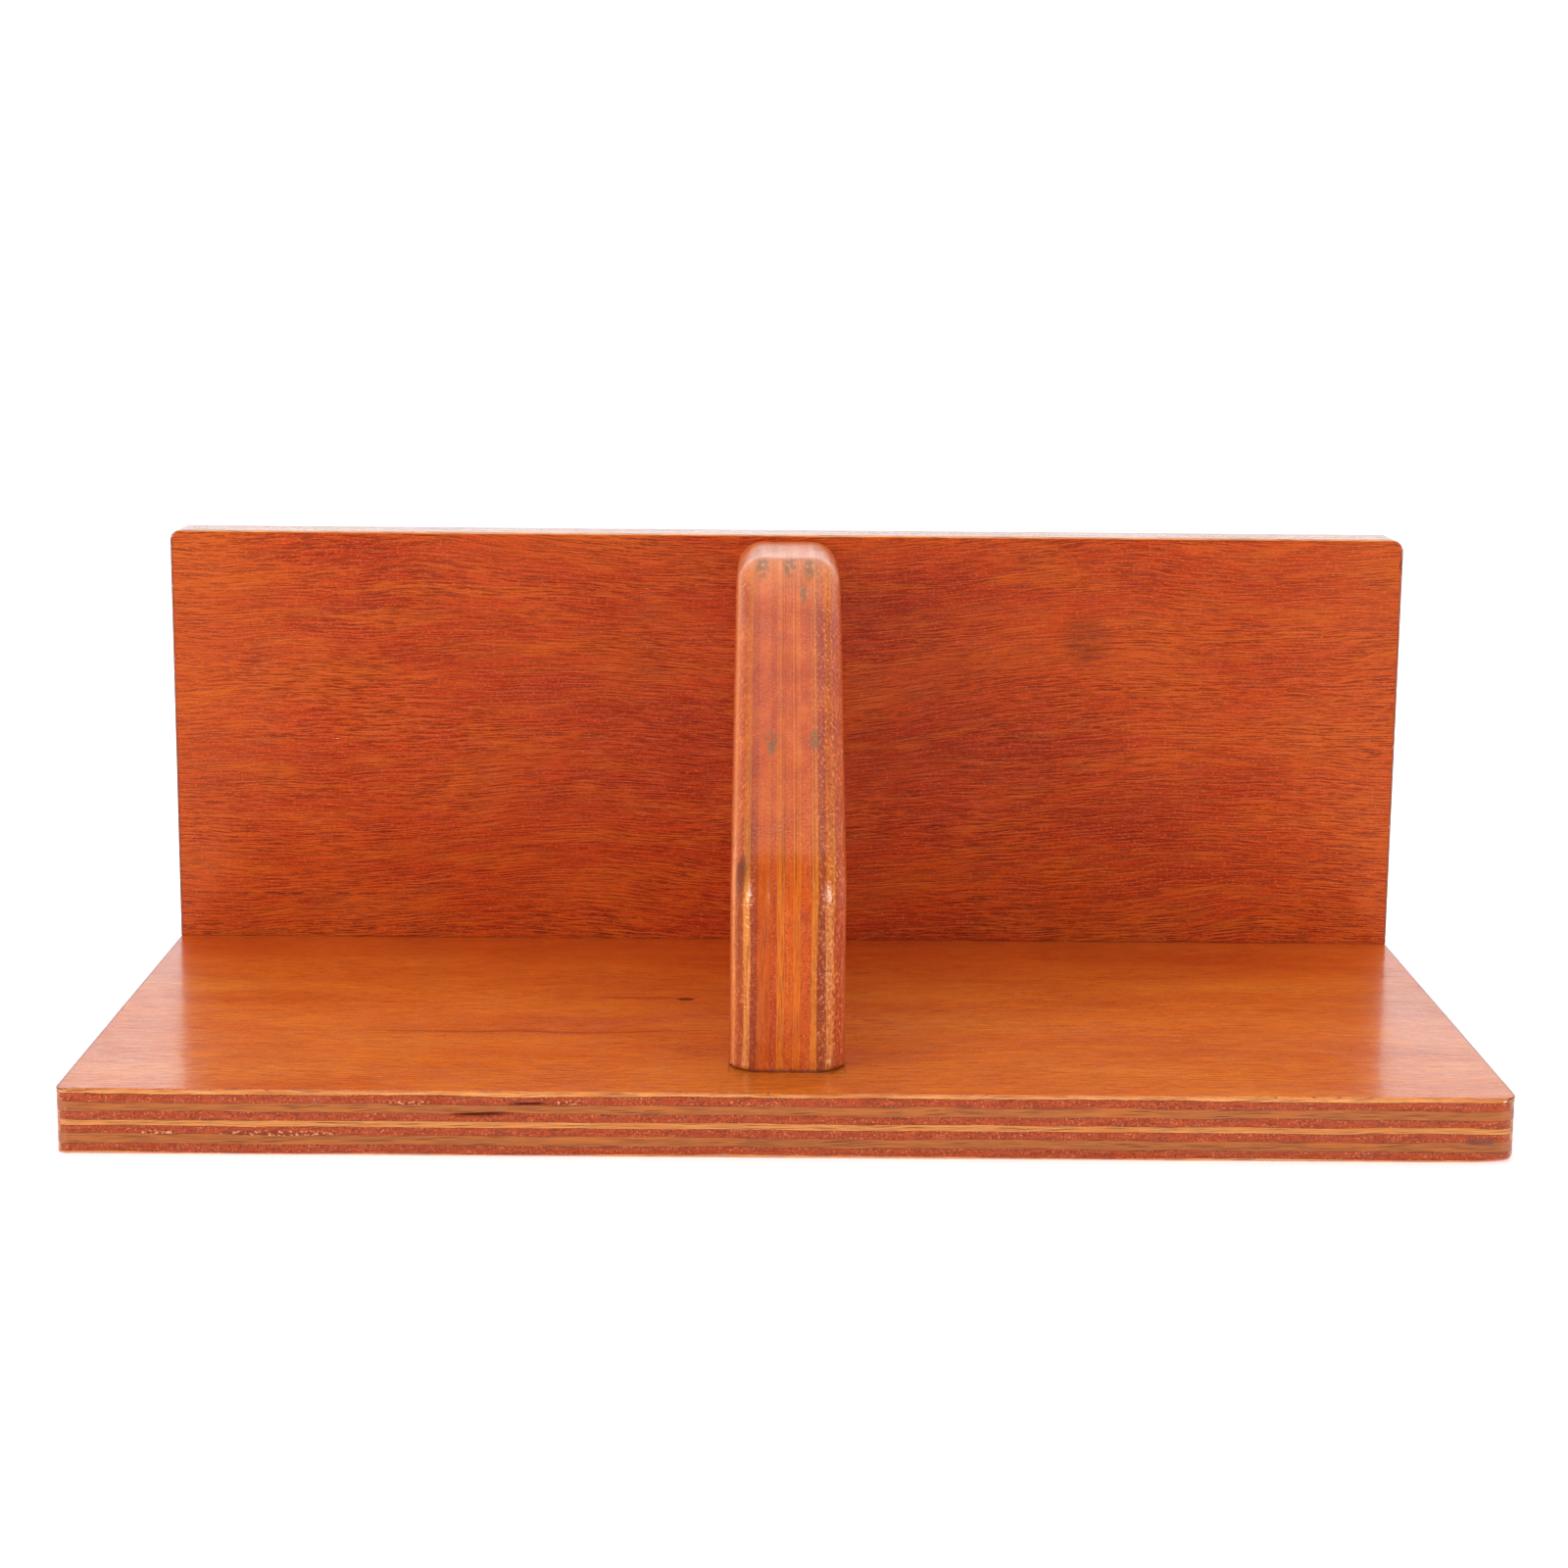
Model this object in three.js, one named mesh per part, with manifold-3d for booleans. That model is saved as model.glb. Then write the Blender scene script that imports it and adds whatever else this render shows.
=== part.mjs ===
// Rigid braced stand of stained plywood: a base board, a back board standing on its rear edge,
// and a thick centre brace with rounded edges, held together with countersunk wood screws.
// Millimetres, +Z up. The origin is under the centre of the base; -Y is the open front.

import * as THREE from 'three';
import { mergeVertices } from 'three/addons/utils/BufferGeometryUtils.js';
import Module from 'manifold-3d';

const wasm = await Module();
wasm.setup();

// ---- driving dimensions ----

const WIDTH = 400;
const DEPTH = 200;
const HEIGHT = 153;
const BOARD = 18.4;
const CORNER_RADIUS = 4;
const ARRIS_RADIUS = 1.6;
const GLUE_LINE = 0.3;

// The brace is measured from the front face of the back board and from the top of the base.
const BRACE_THICKNESS = 32.4;
const BRACE_REACH = 160.3;
const BRACE_HEIGHT = 132.5;
const BRACE_FLAT_TOP = 49;
const BRACE_TOE_HEIGHT = 56.5;
const BRACE_EDGE_RADIUS = 8.5;
const BRACE_BEND_RADIUS = 18;

const SCREW_LENGTH = 50;
const SCREW_HEAD_RADIUS = 4.7;
const SCREW_HEAD_RIM = 0.4;
const SCREW_CONE_DEPTH = 3;
const SCREW_SHANK_RADIUS = 2.1;
const SCREW_THREAD_RADIUS = 2.5;
const SCREW_THREAD_START = 20;
const SCREW_POINT_LENGTH = 6;
const SCREW_RECESS_WIDTH = 1.1;
const SCREW_RECESS_SPAN = 5;
const SCREW_RECESS_DEPTH = 2;
const HEAD_SINK = 0.5;
const SCREW_CLEARANCE = 0.3;

const BASE_TO_BACK_SCREWS_X = [-165, -55, 55, 165];
const BASE_TO_BRACE_SCREWS_Y = [-45, 45];
const BACK_TO_BRACE_SCREWS_Z = [62, 116];

const CORNER_STEPS = 5;
const ARRIS_STEPS = 3;
const EDGE_STEPS = 6;
const BEND_STEPS = 8;
const SCREW_SIDES = 20;

// ---- derived places ----

const BACK_FACE_Y = DEPTH / 2;
const BACK_FRONT_Y = BACK_FACE_Y - BOARD;
const BACK_CENTRE_Y = BACK_FACE_Y - BOARD / 2;

// ---- materials ----

function wood(color, roughness) {
  return new THREE.MeshStandardMaterial({ color, roughness, metalness: 0 });
}

const baseMaterial = wood(0xcb5d25, 0.3);
const backMaterial = wood(0xb5461f, 0.32);
const braceMaterial = wood(0xc4662c, 0.35);
const screwMaterial = new THREE.MeshStandardMaterial({ color: 0xb9b2a0, roughness: 0.35, metalness: 1 });

// ---- joining and cutting ----

function toManifold(geometry) {
  const bare = geometry.clone();
  bare.deleteAttribute('normal');
  bare.deleteAttribute('uv');
  const merged = mergeVertices(bare, 1e-4);
  return new wasm.Manifold(new wasm.Mesh({
    numProp: 3,
    vertProperties: new Float32Array(merged.attributes.position.array),
    triVerts: new Uint32Array(merged.index.array),
  }));
}

function toGeometry(solid) {
  const mesh = solid.getMesh();
  const geometry = new THREE.BufferGeometry();
  geometry.setAttribute('position', new THREE.BufferAttribute(mesh.vertProperties, 3));
  geometry.setIndex(new THREE.BufferAttribute(mesh.triVerts, 1));
  geometry.computeVertexNormals();
  return geometry;
}

function cut(geometry, cutters) {
  let solid = toManifold(geometry);
  for (const cutter of cutters) {
    solid = solid.subtract(toManifold(cutter));
  }
  return toGeometry(solid);
}

// ---- outlines ----

// A closed outline through the corners, each rounded by its own radius. Corners run anticlockwise.
function roundedOutline(corners) {
  const shape = new THREE.Shape();
  corners.forEach(({ x, y, radius }, index) => {
    const here = new THREE.Vector2(x, y);
    const before = corners[(index + corners.length - 1) % corners.length];
    const after = corners[(index + 1) % corners.length];
    const back = new THREE.Vector2(before.x, before.y).sub(here).normalize();
    const ahead = new THREE.Vector2(after.x, after.y).sub(here).normalize();
    const halfAngle = Math.acos(back.dot(ahead)) / 2;
    const setback = radius / Math.tan(halfAngle);
    const start = here.clone().addScaledVector(back, setback);
    const centre = back.clone().add(ahead).normalize().multiplyScalar(radius / Math.sin(halfAngle)).add(here);
    const startAngle = Math.atan2(start.y - centre.y, start.x - centre.x);
    const sweep = Math.PI - 2 * halfAngle;
    if (index === 0) {
      shape.moveTo(start.x, start.y);
    } else {
      shape.lineTo(start.x, start.y);
    }
    if (radius > 0) {
      shape.absarc(centre.x, centre.y, radius, startAngle, startAngle + sweep, false);
    }
  });
  shape.closePath();
  return shape;
}

// A flat board with its long edges slightly rounded, standing on the local XY plane.
function boardGeometry(corners, curveSegments) {
  return new THREE.ExtrudeGeometry(roundedOutline(corners), {
    depth: BOARD - 2 * ARRIS_RADIUS,
    bevelEnabled: true,
    bevelThickness: ARRIS_RADIUS,
    bevelSize: ARRIS_RADIUS,
    bevelOffset: -ARRIS_RADIUS,
    bevelSegments: ARRIS_STEPS,
    curveSegments,
  }).translate(0, 0, ARRIS_RADIUS);
}

// ---- screws ----

// Radius against distance from the head's top face; clearance makes the hole that the screw sits in.
function screwProfile(clearance) {
  const extra = clearance > 0 ? HEAD_SINK + 1 : 0;
  const profile = [
    [0, -extra],
    [SCREW_HEAD_RADIUS + clearance, -extra],
    [SCREW_HEAD_RADIUS + clearance, SCREW_HEAD_RIM],
    [SCREW_SHANK_RADIUS + clearance, SCREW_HEAD_RIM + SCREW_CONE_DEPTH],
    [SCREW_SHANK_RADIUS + clearance, SCREW_THREAD_START - clearance],
    [SCREW_THREAD_RADIUS + clearance, SCREW_THREAD_START + 1 - clearance],
    [SCREW_THREAD_RADIUS + clearance, SCREW_LENGTH - SCREW_POINT_LENGTH],
    [0, SCREW_LENGTH + 2 * clearance],
  ];
  return profile.map(([radius, along]) => new THREE.Vector2(radius, -along)).reverse();
}

function screwGeometry() {
  const body = new THREE.LatheGeometry(screwProfile(0), SCREW_SIDES);
  const slots = [0, Math.PI / 2].map((turn) => new THREE.BoxGeometry(
    SCREW_RECESS_SPAN,
    2 * SCREW_RECESS_DEPTH,
    SCREW_RECESS_WIDTH,
  ).rotateY(turn));
  return cut(body, slots);
}

function screwHole(placement) {
  return new THREE.LatheGeometry(screwProfile(SCREW_CLEARANCE), SCREW_SIDES).applyMatrix4(placement);
}

// The screw's axis is local -Y, head at the local origin.
const DRIVE_UP = new THREE.Euler(-Math.PI / 2, 0, 0);
const DRIVE_FORWARD = new THREE.Euler(0, 0, 0);

function screwPlace(name, position, rotation) {
  return { name, position, rotation };
}

const underScrews = BASE_TO_BACK_SCREWS_X.map((x, index) => screwPlace(
  `base_to_back_screw_${index + 1}`,
  new THREE.Vector3(x, BACK_CENTRE_Y, HEAD_SINK),
  DRIVE_UP,
));
const toeScrews = BASE_TO_BRACE_SCREWS_Y.map((y, index) => screwPlace(
  `base_to_brace_screw_${index + 1}`,
  new THREE.Vector3(0, y, HEAD_SINK),
  DRIVE_UP,
));
const rearScrews = BACK_TO_BRACE_SCREWS_Z.map((z, index) => screwPlace(
  `back_to_brace_screw_${index + 1}`,
  new THREE.Vector3(0, BACK_FACE_Y - HEAD_SINK, z),
  DRIVE_FORWARD,
));

function holesFor(screws) {
  return screws.map(({ position, rotation }) => screwHole(new THREE.Matrix4().compose(
    position,
    new THREE.Quaternion().setFromEuler(rotation),
    new THREE.Vector3(1, 1, 1),
  )));
}

// ---- base board ----

function baseBoard() {
  const halfWidth = WIDTH / 2;
  const halfDepth = DEPTH / 2;
  const board = boardGeometry([
    { x: -halfWidth, y: -halfDepth, radius: CORNER_RADIUS },
    { x: halfWidth, y: -halfDepth, radius: CORNER_RADIUS },
    { x: halfWidth, y: halfDepth, radius: CORNER_RADIUS },
    { x: -halfWidth, y: halfDepth, radius: CORNER_RADIUS },
  ], CORNER_STEPS);
  return cut(board, holesFor([...underScrews, ...toeScrews]));
}

// ---- back board ----

// It is drawn longer at the foot and trimmed, so its foot is square where it meets the base.
function backBoard() {
  const halfWidth = WIDTH / 2;
  const foot = BOARD + GLUE_LINE;
  const allowance = 3 * CORNER_RADIUS;
  const board = boardGeometry([
    { x: -halfWidth, y: foot - allowance, radius: CORNER_RADIUS },
    { x: halfWidth, y: foot - allowance, radius: CORNER_RADIUS },
    { x: halfWidth, y: HEIGHT, radius: CORNER_RADIUS },
    { x: -halfWidth, y: HEIGHT, radius: CORNER_RADIUS },
  ], CORNER_STEPS);
  board.rotateX(Math.PI / 2).translate(0, BACK_FACE_Y, 0);
  const belowFoot = new THREE.BoxGeometry(2 * WIDTH, 2 * DEPTH, 2 * allowance);
  belowFoot.translate(0, BACK_FACE_Y, foot - allowance);
  return cut(board, [belowFoot, ...holesFor([...underScrews, ...rearScrews])]);
}

// ---- brace ----

// Flat top, straight slope and upright toe, with every free edge rounded over. The profile runs past
// both joints and is trimmed there, so it meets the boards square.
function brace() {
  const allowance = 3 * BRACE_EDGE_RADIUS;
  const profile = roundedOutline([
    { x: -allowance, y: -allowance, radius: 0 },
    { x: BRACE_REACH, y: -allowance, radius: 0 },
    { x: BRACE_REACH, y: BRACE_TOE_HEIGHT, radius: BRACE_BEND_RADIUS },
    { x: BRACE_FLAT_TOP, y: BRACE_HEIGHT, radius: BRACE_BEND_RADIUS },
    { x: -allowance, y: BRACE_HEIGHT, radius: 0 },
  ]);
  const solid = new THREE.ExtrudeGeometry(profile, {
    depth: BRACE_THICKNESS - 2 * BRACE_EDGE_RADIUS,
    bevelEnabled: true,
    bevelThickness: BRACE_EDGE_RADIUS,
    bevelSize: BRACE_EDGE_RADIUS,
    bevelOffset: -BRACE_EDGE_RADIUS,
    bevelSegments: EDGE_STEPS,
    curveSegments: BEND_STEPS,
  });
  solid.translate(0, 0, BRACE_EDGE_RADIUS - BRACE_THICKNESS / 2);
  const forward = new THREE.Vector3(0, -1, 0);
  const up = new THREE.Vector3(0, 0, 1);
  const sideways = new THREE.Vector3(-1, 0, 0);
  solid.applyMatrix4(new THREE.Matrix4().makeBasis(forward, up, sideways));
  solid.translate(0, BACK_FRONT_Y, BOARD);

  const belowBase = new THREE.BoxGeometry(WIDTH, 2 * DEPTH, 2 * allowance);
  belowBase.translate(0, 0, BOARD + GLUE_LINE - allowance);
  const insideBack = new THREE.BoxGeometry(WIDTH, 2 * allowance, 2 * HEIGHT);
  insideBack.translate(0, BACK_FRONT_Y - GLUE_LINE + allowance, HEIGHT);
  return cut(solid, [belowBase, insideBack, ...holesFor([...toeScrews, ...rearScrews])]);
}

// ---- assembly ----

function named(name, geometry, material) {
  const mesh = new THREE.Mesh(geometry, material);
  mesh.name = name;
  return mesh;
}

const stand = new THREE.Group();
stand.add(named('base_board', baseBoard(), baseMaterial));
stand.add(named('back_board', backBoard(), backMaterial));
stand.add(named('brace', brace(), braceMaterial));

const oneScrew = screwGeometry();
for (const { name, position, rotation } of [...underScrews, ...toeScrews, ...rearScrews]) {
  const screw = named(name, oneScrew, screwMaterial);
  screw.position.copy(position);
  screw.rotation.copy(rotation);
  stand.add(screw);
}

export default stand;
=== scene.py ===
"""Looks of a braced plywood stand: varnished, stained boards with visible plies, on a pale floor.

The three boards and the screws are rebuilt here with fine rounded edges in the places that the CAD
nodes give. All materials are procedural and work in object space, in millimetres.
"""

import math
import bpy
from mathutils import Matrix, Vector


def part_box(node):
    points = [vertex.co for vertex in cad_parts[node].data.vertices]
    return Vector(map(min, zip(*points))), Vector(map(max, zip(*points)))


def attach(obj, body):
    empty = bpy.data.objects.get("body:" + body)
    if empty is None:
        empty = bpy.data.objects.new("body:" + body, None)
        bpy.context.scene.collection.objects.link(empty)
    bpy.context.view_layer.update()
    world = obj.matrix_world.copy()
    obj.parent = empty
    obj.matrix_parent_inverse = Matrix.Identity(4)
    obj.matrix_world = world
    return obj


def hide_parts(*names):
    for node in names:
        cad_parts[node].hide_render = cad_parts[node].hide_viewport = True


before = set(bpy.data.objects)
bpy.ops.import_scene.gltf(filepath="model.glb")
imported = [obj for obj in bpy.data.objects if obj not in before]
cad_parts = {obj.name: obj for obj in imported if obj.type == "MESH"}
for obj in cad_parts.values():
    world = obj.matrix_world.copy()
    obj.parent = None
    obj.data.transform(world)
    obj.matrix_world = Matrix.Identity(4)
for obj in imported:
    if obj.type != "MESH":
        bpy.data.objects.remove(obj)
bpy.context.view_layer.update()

from types import SimpleNamespace

import bmesh
import bpy
from mathutils import Euler, Matrix, Vector, noise

MM = 0.001

# ---- places, from the frame ----

BASE_LOW, BASE_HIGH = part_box("base_board")
BACK_LOW, BACK_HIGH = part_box("back_board")
BRACE_LOW, BRACE_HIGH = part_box("brace")
BOARD = BASE_HIGH.z - BASE_LOW.z
BACK_FRONT = BACK_LOW.y
BRACE_HALF = BRACE_HIGH.x

# ---- camera ----

CAMERA_PLACE = Vector((-0.0069, -0.8907, 0.2498))
CAMERA_TURN = [math.radians(angle) for angle in (79.58, -0.505, -0.285)]
CAMERA_LENS = 69.0
CAMERA_SENSOR = 36.0
CAMERA_NEAR = 0.05
CAMERA_FAR = 50


def add_camera():
    data = bpy.data.cameras.new("camera")
    data.lens = CAMERA_LENS
    data.sensor_width = CAMERA_SENSOR
    data.clip_start = CAMERA_NEAR
    data.clip_end = CAMERA_FAR
    camera = bpy.data.objects.new("camera", data)
    camera.location = CAMERA_PLACE
    camera.rotation_euler = Euler(CAMERA_TURN)
    bpy.context.scene.collection.objects.link(camera)
    bpy.context.scene.camera = camera


# ---- light and floor ----

FLOOR_RADIUS = 30.0
FLOOR_SIDES = 96
FLOOR_CLOUD = 40
FLOOR_DARK = (238, 238, 238)
FLOOR_PALE = (246, 246, 246)
FLOOR_GLOW = 0.4

# Brightness of the sweep behind, in front and above, and the ray directions between which it changes.
SWEEP_BACK = 1.35
SWEEP_FRONT = 0.5
SWEEP_TOP = 0.6
SWEEP_TURN = (-0.35, 0.45)
SWEEP_RISE = (0.3, 0.55)

# Name, place, target, width, height and power of each soft light, in metres and watts.
LIGHTS = [
    ("overhead", (0, 0.64, 1.35), (0, 0.62, 0), 1.3, 0.8, 9.5),
    ("top", (0, -0.25, 1.3), (0, 0, 0), 1.0, 0.8, 1.1),
    ("key", (-1.4, -1.25, 0.85), (0, 0, 0.05), 0.6, 1.1, 12),
    ("fill", (1.4, -1.25, 0.85), (0, 0, 0.05), 0.45, 1.0, 5),
]

# Low lights that only show as glints in the varnish.
GLINTS = [
    ("glint_left", (-1.35, -1.3, 0.32), (0, 0, 0.05), 0.34, 0.6, 70),
    ("glint_right", (1.35, -1.3, 0.32), (0, 0, 0.05), 0.34, 0.6, 70),
]


def add_area_light(name, place, target, width, height, power):
    data = bpy.data.lights.new(name, "AREA")
    data.shape = "RECTANGLE"
    data.size = width
    data.size_y = height
    data.energy = power
    light = bpy.data.objects.new(name, data)
    light.location = place
    light.rotation_euler = (Vector(target) - Vector(place)).to_track_quat("-Z", "Y").to_euler()
    bpy.context.scene.collection.objects.link(light)
    return light


def add_floor():
    mesh = bpy.data.meshes.new("floor")
    form = bmesh.new()
    bmesh.ops.create_circle(form, cap_ends=True, segments=FLOOR_SIDES, radius=FLOOR_RADIUS)
    form.to_mesh(mesh)
    form.free()
    floor = bpy.data.objects.new("floor", mesh)
    bpy.context.scene.collection.objects.link(floor)
    graph = Graph("pale_floor")
    place, _ = graph.position()
    clouds = graph.noise((place["X"], place["Y"]), (FLOOR_CLOUD, FLOOR_CLOUD), detail=3)
    graph.put(graph.shader.inputs["Base Color"], graph.mix(clouds, srgb(*FLOOR_DARK), srgb(*FLOOR_PALE)))
    graph.shader.inputs["Roughness"].default_value = 0.8
    graph.shader.inputs["Specular IOR Level"].default_value = 0.1
    graph.shader.inputs["Emission Color"].default_value = (1, 1, 1, 1)
    graph.shader.inputs["Emission Strength"].default_value = FLOOR_GLOW
    mesh.materials.append(graph.material)


def add_world():
    """A white sweep behind the object, dimmer above and on the camera's side."""
    world = bpy.data.worlds.new("studio")
    bpy.context.scene.world = world
    world.use_nodes = True
    graph = Graph(tree=world.node_tree)
    coords = graph.tree.nodes.new("ShaderNodeTexCoord")
    ray = graph.tree.nodes.new("ShaderNodeSeparateXYZ")
    graph.put(ray.inputs[0], coords.outputs["Generated"])
    behind = graph.steps(ray.outputs["Y"], *SWEEP_TURN)
    low = graph.mix(behind, grey(SWEEP_FRONT), grey(SWEEP_BACK))
    colour = graph.mix(graph.steps(ray.outputs["Z"], *SWEEP_RISE), low, grey(SWEEP_TOP))
    graph.put(graph.tree.nodes["Background"].inputs["Color"], colour)


def add_lights():
    for light in LIGHTS:
        add_area_light(*light)
    for light in GLINTS:
        add_area_light(*light).visible_diffuse = False


# ---- node helpers ----


def srgb(red, green, blue):
    """A display colour, 0 to 255, as the linear colour that a shader takes."""
    def linear(value):
        value = value / 255
        return value / 12.92 if value <= 0.04045 else ((value + 0.055) / 1.055) ** 2.4
    return (linear(red), linear(green), linear(blue), 1)


def grey(value):
    return (value, value, value, 1)


class Graph:
    """Adds nodes to a new material, or to a tree that is given, and links them.

    An input can be a number, a colour or a socket. Places are in millimetres.
    """

    def __init__(self, name=None, tree=None):
        self.tree = tree
        if tree is None:
            self.material = bpy.data.materials.new(name)
            self.material.use_nodes = True
            self.tree = self.material.node_tree
            self.shader = self.tree.nodes["Principled BSDF"]

    def put(self, socket, value):
        if isinstance(value, bpy.types.NodeSocket):
            self.tree.links.new(value, socket)
        else:
            socket.default_value = value

    def position(self):
        """Object coordinates in millimetres, and the surface's direction, as separate sockets."""
        coords = self.tree.nodes.new("ShaderNodeTexCoord")
        places = self.tree.nodes.new("ShaderNodeVectorMath")
        places.operation = "SCALE"
        self.put(places.inputs[0], coords.outputs["Object"])
        places.inputs["Scale"].default_value = 1 / MM
        place = self.tree.nodes.new("ShaderNodeSeparateXYZ")
        self.put(place.inputs[0], places.outputs[0])
        facing = self.tree.nodes.new("ShaderNodeSeparateXYZ")
        self.put(facing.inputs[0], coords.outputs["Normal"])
        return place.outputs, facing.outputs

    def math(self, operation, first, second=0.0):
        node = self.tree.nodes.new("ShaderNodeMath")
        node.operation = operation
        self.put(node.inputs[0], first)
        self.put(node.inputs[1], second)
        return node.outputs[0]

    def add(self, first, second):
        return self.math("ADD", first, second)

    def times(self, product, *factors):
        for factor in factors:
            product = self.math("MULTIPLY", product, factor)
        return product

    def less(self, first, second):
        """The first, less the second."""
        return self.math("SUBTRACT", first, second)

    def size(self, value):
        """The value without its sign."""
        return self.math("ABSOLUTE", value)

    def steps(self, value, low, high, to_low=0.0, to_high=1.0):
        """Smooth change from to_low to to_high as value goes from low to high."""
        node = self.tree.nodes.new("ShaderNodeMapRange")
        node.interpolation_type = "SMOOTHSTEP"
        for socket, number in zip(node.inputs[:5], (value, low, high, to_low, to_high)):
            self.put(socket, number)
        return node.outputs[0]

    def vector(self, x, y, z=0.0):
        node = self.tree.nodes.new("ShaderNodeCombineXYZ")
        for socket, value in zip(node.inputs, (x, y, z)):
            self.put(socket, value)
        return node.outputs[0]

    def noise(self, places, sizes, seed=0.0, detail=2.0, roughness=0.5):
        """Noise from about 0.3 to 0.7 whose features have the given sizes along one, two or three places.

        The seed stands in for the third place where only one or two are given.
        """
        scaled = [self.times(place, 1 / size) for place, size in zip(places, sizes)]
        if len(scaled) == 1:
            scaled.append(0.0)
        if len(scaled) == 2:
            scaled.append(seed)
        node = self.tree.nodes.new("ShaderNodeTexNoise")
        self.put(node.inputs["Vector"], self.vector(*scaled))
        node.inputs["Scale"].default_value = 1.0
        node.inputs["Detail"].default_value = detail
        node.inputs["Roughness"].default_value = roughness
        return node.outputs[0]

    def cells(self, x, y, dimensions):
        """A random value for each cell of a Voronoi pattern, and the distance from the cell's centre."""
        node = self.tree.nodes.new("ShaderNodeTexVoronoi")
        node.voronoi_dimensions = dimensions
        self.put(node.inputs["Vector"], self.vector(x, y))
        node.inputs["Scale"].default_value = 1.0
        split = self.tree.nodes.new("ShaderNodeSeparateColor")
        self.put(split.inputs[0], node.outputs["Color"])
        return split.outputs[0], node.outputs["Distance"]

    def ramp(self, factor, stops, interpolation="LINEAR"):
        node = self.tree.nodes.new("ShaderNodeValToRGB")
        band = node.color_ramp
        band.interpolation = interpolation
        while len(band.elements) < len(stops):
            band.elements.new(0.5)
        for element, (place, colour) in zip(band.elements, stops):
            element.position = place
            element.color = colour
        self.put(node.inputs[0], factor)
        return node.outputs[0]

    def mix(self, factor, first, second, blend="MIX"):
        node = self.tree.nodes.new("ShaderNodeMix")
        node.data_type = "RGBA"
        node.blend_type = blend
        self.put(node.inputs[0], factor)
        self.put(node.inputs[6], first)
        self.put(node.inputs[7], second)
        return node.outputs[2]

    def tint(self, tone, where, strength, colour):
        """The tone, moved towards a display colour where the second input is one."""
        return self.mix(self.times(where, strength), tone, srgb(*colour))

    def spot(self, x, y, centre_x, centre_y, radius_x, radius_y, softness=0.5):
        """One inside an ellipse, fading to zero at its edge."""
        across = self.math("DIVIDE", self.less(x, centre_x), radius_x)
        along = self.math("DIVIDE", self.less(y, centre_y), radius_y)
        squared = self.add(self.times(across, across), self.times(along, along))
        return self.steps(squared, 1.0, 1.0 - softness)

    def bump(self, height, distance, after=None):
        """Relief of a height from zero to one, times a distance in metres, on top of an earlier bump."""
        node = self.tree.nodes.new("ShaderNodeBump")
        self.put(node.inputs["Height"], height)
        node.inputs["Distance"].default_value = distance
        if after is not None:
            self.put(node.inputs["Normal"], after)
        return node.outputs[0]


# ---- wood ----
#
# Where steps takes a noise, its numbers are the noise levels between which a mark fades in. A seed only
# chooses which stretch of the noise is used. Strengths are shares from zero to one.

WOOD_IOR = 1.3
WOOD_TINT = (1.0, 0.4, 0.12, 1)
SMUDGE_SIZE = 34

# Splits in the base's front edge, in mm: centre, height, half length, half height, depth.
FRONT_SPLITS = [
    (-83.5, 12.1, 10, 0.36, 1.2),
    (-70.5, 15.2, 6.5, 0.34, 0.8),
]
SPLIT_SWAY = 0.16
SPLIT_WAVE = 4.5

# Rows of torn fibres in the base's front edge, in mm: centre, height, half length, half height.
TORN_ROWS = [
    (-139, 6.3, 19, 0.9),
    (-103, 15.2, 6, 0.7),
    (-60, 15.4, 6, 0.6),
    (-172, 6.4, 6, 0.7),
]

# A dark plug of filler near the right end of the base's front edge: centre and height.
FILLER_PLACE = (189.8, 6.4)

# Other marks, in mm: centre along X, centre across, half length, half width.
BRUISE = (98, 119.5, 10.5, 9.5)
CRACK = (-162, 34.2, 48, 0.45)
CHIP = (199.6, 144.7, 1.0, 2.2)
KNOT = (-30.5, 2.2, 3.4, 2.1)
KNOT_STREAK = (-42, 3.4, 24, 2.0)
GROWTH_LINE = (-75, -22, 66, 1.6)

# Marks on the brace's free edge, in mm: across, forward place, half width, half length.
BRACE_SCUFFS = [
    (-8.0, 30.0, 2.6, 6.5),
    (0.5, 30.0, 3.0, 6.0),
    (6.5, 29.0, 2.4, 6.0),
    (4.5, 19.0, 1.2, 5.0),
    (-5.0, -35.0, 2.2, 5.5),
    (7.5, -34.0, 1.7, 4.5),
]
BRACE_GOUGES = [(-13.2, -73.0, 1.9, 5.0)]

# Display colours of marks, stains, worn varnish, painted highlights and painted shade.
BRUISE_BROWN = (108, 42, 10)
CRACK_BROWN = (72, 24, 8)
CHIP_BROWN = (74, 28, 14)
SPLIT_BROWN = (84, 24, 10)
TORN_PIT_SHADOW = (104, 30, 12)
TORN_LIT_CRUMB = (242, 160, 108)
FILLER_BROWN = (112, 48, 40)
BASE_RED = (228, 72, 8)
STREAK_RED = (168, 46, 14)
KNOT_BROWN = (62, 16, 6)
GROWTH_RED = (150, 46, 10)
NICK_BROWN = (84, 34, 18)
BACK_JOINT_SHADE = (84, 24, 8)
BASE_JOINT_SHADE = (96, 32, 12)
BRACE_CONTACT_SHADOW = (70, 20, 8)
DUST = (226, 170, 128)
ARRIS_STAIN = (92, 28, 18)
RIM_STAIN = (120, 36, 18)
SCUFF_GREY = (112, 88, 56)
GOUGE_BROWN = (92, 26, 10)
STREAK_ORANGE = (196, 106, 42)
FIBRE_BROWN = (92, 36, 16)
GLINT_PALE = (240, 140, 78)
MOTTLE_PALE = (244, 146, 84)
MOTTLE_DARK = (150, 44, 8)
PALE_SIDE_AND_WEAR = (246, 156, 92)

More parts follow.
